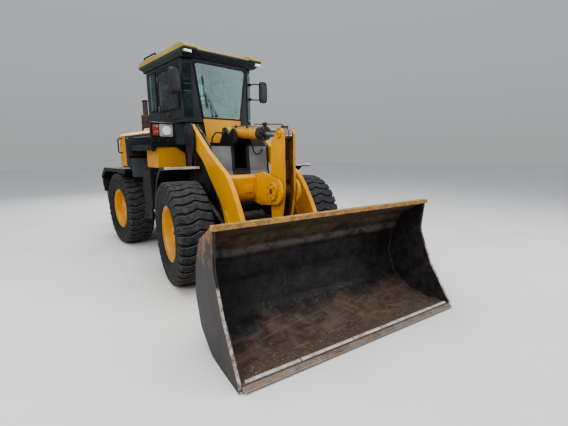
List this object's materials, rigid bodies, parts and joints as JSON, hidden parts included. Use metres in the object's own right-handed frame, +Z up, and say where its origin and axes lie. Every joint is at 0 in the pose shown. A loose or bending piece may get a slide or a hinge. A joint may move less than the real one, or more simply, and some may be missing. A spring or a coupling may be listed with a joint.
{
  "type": "wheel loader",
  "caption": "Articulated wheel loader with a front bucket on a lifting boom and bellcrank linkage, an enclosed cab over the hinge, a rear engine hood, a counterweight and large lugged tyres.",
  "frame": {"origin": "On the ground at the middle of the parked machine's bounding box; the vertical articulation axis stands at x 0.390 m, y 0.346 m.", "axes": "+Z up, -Y the way the rear half faces, +X the machine's left; the front half is parked turned 10.4 degrees to the machine's right."},
  "size_m": [3.056, 7.2059, 3.275],
  "materials": {
    "tyre": "matte",
    "rim": "gloss",
    "black_frame": "satin",
    "cast_axle": "matte",
    "engine_grey": "matte",
    "yellow_paint": "gloss",
    "grey_paint": "satin",
    "bucket_steel": "worn",
    "edge_steel": "worn",
    "pin_steel": "satin",
    "rod_chrome": "polished",
    "cylinder_black": "satin",
    "hose_rubber": "matte",
    "glass": "clear",
    "seat_fabric": "matte",
    "lamp_plastic": "gloss"
  },
  "bodies": {
    "rear_half": {"rear_frame": "black_frame", "rear_axle": "cast_axle", "hood": "yellow_paint", "engine_block": "engine_grey", "radiator": "engine_grey", "exhaust_stack": "black_frame", "counterweight": "black_frame", "rear_fenders": "black_frame", "steps": "black_frame", "decks": "black_frame", "side_tanks": "yellow_paint", "cab_shell": "grey_paint", "cab_glass": "glass", "cab_roof": "yellow_paint", "cab_nose": "yellow_paint", "seat": "seat_fabric", "console": "black_frame", "lamps": "lamp_plastic", "mirrors": "black_frame", "hand_rails": "black_frame"},
    "front_half": {"front_frame": "grey_paint", "front_axle": "cast_axle", "front_fenders": "black_frame", "tilt_pin": "pin_steel", "hoses": "hose_rubber"},
    "boom": {"boom": "yellow_paint"},
    "bucket_pins": {"bucket_pins": "pin_steel"},
    "bucket": {"bucket": "bucket_steel", "bucket_edge": "edge_steel"},
    "bell_pin": {"bellcrank_pin": "pin_steel"},
    "bellcrank": {"bellcrank": "yellow_paint"},
    "link_pin": {"link_pin": "pin_steel"},
    "tilt_link": {"tilt_link": "yellow_paint"},
    "tilt_barrel": {"tilt_barrel": "yellow_paint"},
    "tilt_rod": {"tilt_rod": "rod_chrome"},
    "lift_barrels": {"lift_barrels": "cylinder_black"},
    "lift_rods": {"lift_rods": "rod_chrome"},
    "steer_barrel_left": {"steer_barrel_left": "cylinder_black"},
    "steer_rod_left": {"steer_rod_left": "rod_chrome"},
    "steer_barrel_right": {"steer_barrel_right": "cylinder_black"},
    "steer_rod_right": {"steer_rod_right": "rod_chrome"},
    "wheel_front_left": {"tyre_front_left": "tyre", "rim_front_left": "rim"},
    "wheel_front_right": {"tyre_front_right": "tyre", "rim_front_right": "rim"},
    "wheel_rear_left": {"tyre_rear_left": "tyre", "rim_rear_left": "rim"},
    "wheel_rear_right": {"tyre_rear_right": "tyre", "rim_rear_right": "rim"},
    "door_left": {"cab_door_left": "grey_paint", "door_glass_left": "glass"},
    "door_right": {"cab_door_right": "grey_paint", "door_glass_right": "glass"},
    "hood_door_left": {"hood_door_left": "black_frame"},
    "hood_door_right": {"hood_door_right": "black_frame"},
    "grille": {"rear_grille": "black_frame"}
  },
  "joints": [
    {"name": "steering", "type": "hinge", "parent": "rear_half", "child": "front_half", "pos_m": [0.39, 0.346, 0.56], "axis": [0, 0, 1], "range_deg": [-27.6, 48.4]},
    {"name": "boom_lift", "type": "hinge", "parent": "front_half", "child": "boom", "pos_m": [0.27447, -0.28349, 1.96], "axis": [-0.9836, 0.1805, 0], "range_deg": [-1.5, 80]},
    {"name": "bucket_level", "type": "hinge", "parent": "boom", "child": "bucket_pins", "pos_m": [-0.10552, -2.3539, 0.295], "axis": [-0.9836, 0.1805, 0], "range_deg": [-69.8, 2.29]},
    {"name": "bucket_tilt", "type": "hinge", "parent": "bucket_pins", "child": "bucket", "pos_m": [-0.10552, -2.3539, 0.295], "axis": [-0.9836, 0.1805, 0], "range_deg": [-45, 42]},
    {"name": "bell_level", "type": "hinge", "parent": "boom", "child": "bell_pin", "pos_m": [-0.03675, -1.97916, 1.215], "axis": [0.9836, -0.1805, 0], "range_deg": [-12.74, 1.22]},
    {"name": "bell_turn", "type": "hinge", "parent": "bell_pin", "child": "bellcrank", "pos_m": [-0.03675, -1.97916, 1.215], "axis": [0.9836, -0.1805, 0], "range_deg": [-12.56, 11.79]},
    {"name": "link_level", "type": "hinge", "parent": "bellcrank", "child": "link_pin", "pos_m": [-0.03422, -1.96539, 0.41], "axis": [0.9836, -0.1805, 0], "range_deg": [-1.62, 33.98]},
    {"name": "link_turn", "type": "hinge", "parent": "link_pin", "child": "tilt_link", "pos_m": [-0.03422, -1.96539, 0.41], "axis": [0.9836, -0.1805, 0], "range_deg": [-17.86, 19.06]},
    {"name": "tilt_cylinder_turn", "type": "hinge", "parent": "front_half", "child": "tilt_barrel", "pos_m": [0.2167, -0.59823, 1.95], "axis": [0.9836, -0.1805, 0], "range_deg": [-92.27, 2.71]},
    {"name": "tilt_stroke", "type": "slide", "parent": "tilt_barrel", "child": "tilt_rod", "axis": [-0.1801, -0.9813, -0.0679], "range_m": [-0.1259, 0.11764]},
    {"name": "lift_cylinder_turn", "type": "hinge", "parent": "front_half", "child": "lift_barrels", "pos_m": [0.24919, -0.42119, 1.15], "axis": [0.9836, -0.1805, 0], "range_deg": [-77.4, 2.43]},
    {"name": "lift_stroke", "type": "slide", "parent": "lift_barrels", "child": "lift_rods", "axis": [-0.1668, -0.9086, -0.383], "range_m": [-0.0218, 1.058]},
    {"name": "steer_cylinder_left_turn", "type": "hinge", "parent": "rear_half", "child": "steer_barrel_left", "pos_m": [0.64, 0.826, 0.745], "axis": [0, 0, 1], "range_deg": [-12.73, 21.57]},
    {"name": "steer_stroke_left", "type": "slide", "parent": "steer_barrel_left", "child": "steer_rod_left", "axis": [-0.0733, -0.9973, 0], "range_m": [-0.22527, 0.12932]},
    {"name": "steer_cylinder_right_turn", "type": "hinge", "parent": "rear_half", "child": "steer_barrel_right", "pos_m": [0.14, 0.826, 0.745], "axis": [0, 0, 1], "range_deg": [-12.93, 21.91]},
    {"name": "steer_stroke_right", "type": "slide", "parent": "steer_barrel_right", "child": "steer_rod_right", "axis": [-0.0838, -0.9965, 0], "range_m": [-0.11387, 0.19819]},
    {"name": "spin_front_left", "type": "hinge", "parent": "front_half", "child": "wheel_front_left", "pos_m": [1.0473, -1.22446, 0.655], "axis": [0.9836, -0.1805, 0], "continuous": true},
    {"name": "spin_front_right", "type": "hinge", "parent": "front_half", "child": "wheel_front_right", "pos_m": [-0.78214, -0.88869, 0.655], "axis": [0.9836, -0.1805, 0], "continuous": true},
    {"name": "spin_rear_left", "type": "hinge", "parent": "rear_half", "child": "wheel_rear_left", "pos_m": [1.32, 1.772, 0.655], "axis": [1, 0, 0], "continuous": true},
    {"name": "spin_rear_right", "type": "hinge", "parent": "rear_half", "child": "wheel_rear_right", "pos_m": [-0.54, 1.772, 0.655], "axis": [1, 0, 0], "continuous": true},
    {"name": "door_left_swing", "type": "hinge", "parent": "rear_half", "child": "door_left", "pos_m": [1.038, 0.814, 2.3], "axis": [0, 0, 1], "range_deg": [0, 80]},
    {"name": "door_right_swing", "type": "hinge", "parent": "rear_half", "child": "door_right", "pos_m": [-0.258, 0.814, 2.3], "axis": [0, 0, -1], "range_deg": [0, 80]},
    {"name": "hood_door_left_swing", "type": "hinge", "parent": "rear_half", "child": "hood_door_left", "pos_m": [1.006, 1.354, 1.7], "axis": [0, 0, -1], "range_deg": [0, 80]},
    {"name": "hood_door_right_swing", "type": "hinge", "parent": "rear_half", "child": "hood_door_right", "pos_m": [-0.226, 1.354, 1.7], "axis": [0, 0, 1], "range_deg": [0, 80]},
    {"name": "grille_swing", "type": "hinge", "parent": "rear_half", "child": "grille", "pos_m": [0.965, 3.182, 1.62], "axis": [0, 0, -1], "range_deg": [0, 100]}
  ],
  "couplings": [
    {"joint": "bucket_level", "follows": "boom_lift", "ratio": -0.86},
    {"joint": "bell_level", "follows": "boom_lift", "ratio": -0.1468},
    {"joint": "bell_turn", "follows": "bucket_tilt", "ratio": 0.2568},
    {"joint": "link_level", "follows": "boom_lift", "ratio": 0.4122},
    {"joint": "link_turn", "follows": "bucket_tilt", "ratio": -0.4013},
    {"joint": "tilt_cylinder_turn", "follows": "boom_lift", "ratio": -1.1409},
    {"joint": "tilt_stroke", "follows": "bucket_tilt", "m_per_rad": 0.1578},
    {"joint": "lift_cylinder_turn", "follows": "boom_lift", "ratio": -0.955},
    {"joint": "lift_stroke", "follows": "boom_lift", "m_per_rad": 0.7563},
    {"joint": "steer_cylinder_left_turn", "follows": "steering", "ratio": 0.425},
    {"joint": "steer_stroke_left", "follows": "steering", "m_per_rad": -0.2643},
    {"joint": "steer_cylinder_right_turn", "follows": "steering", "ratio": 0.4321},
    {"joint": "steer_stroke_right", "follows": "steering", "m_per_rad": 0.2322}
  ]
}
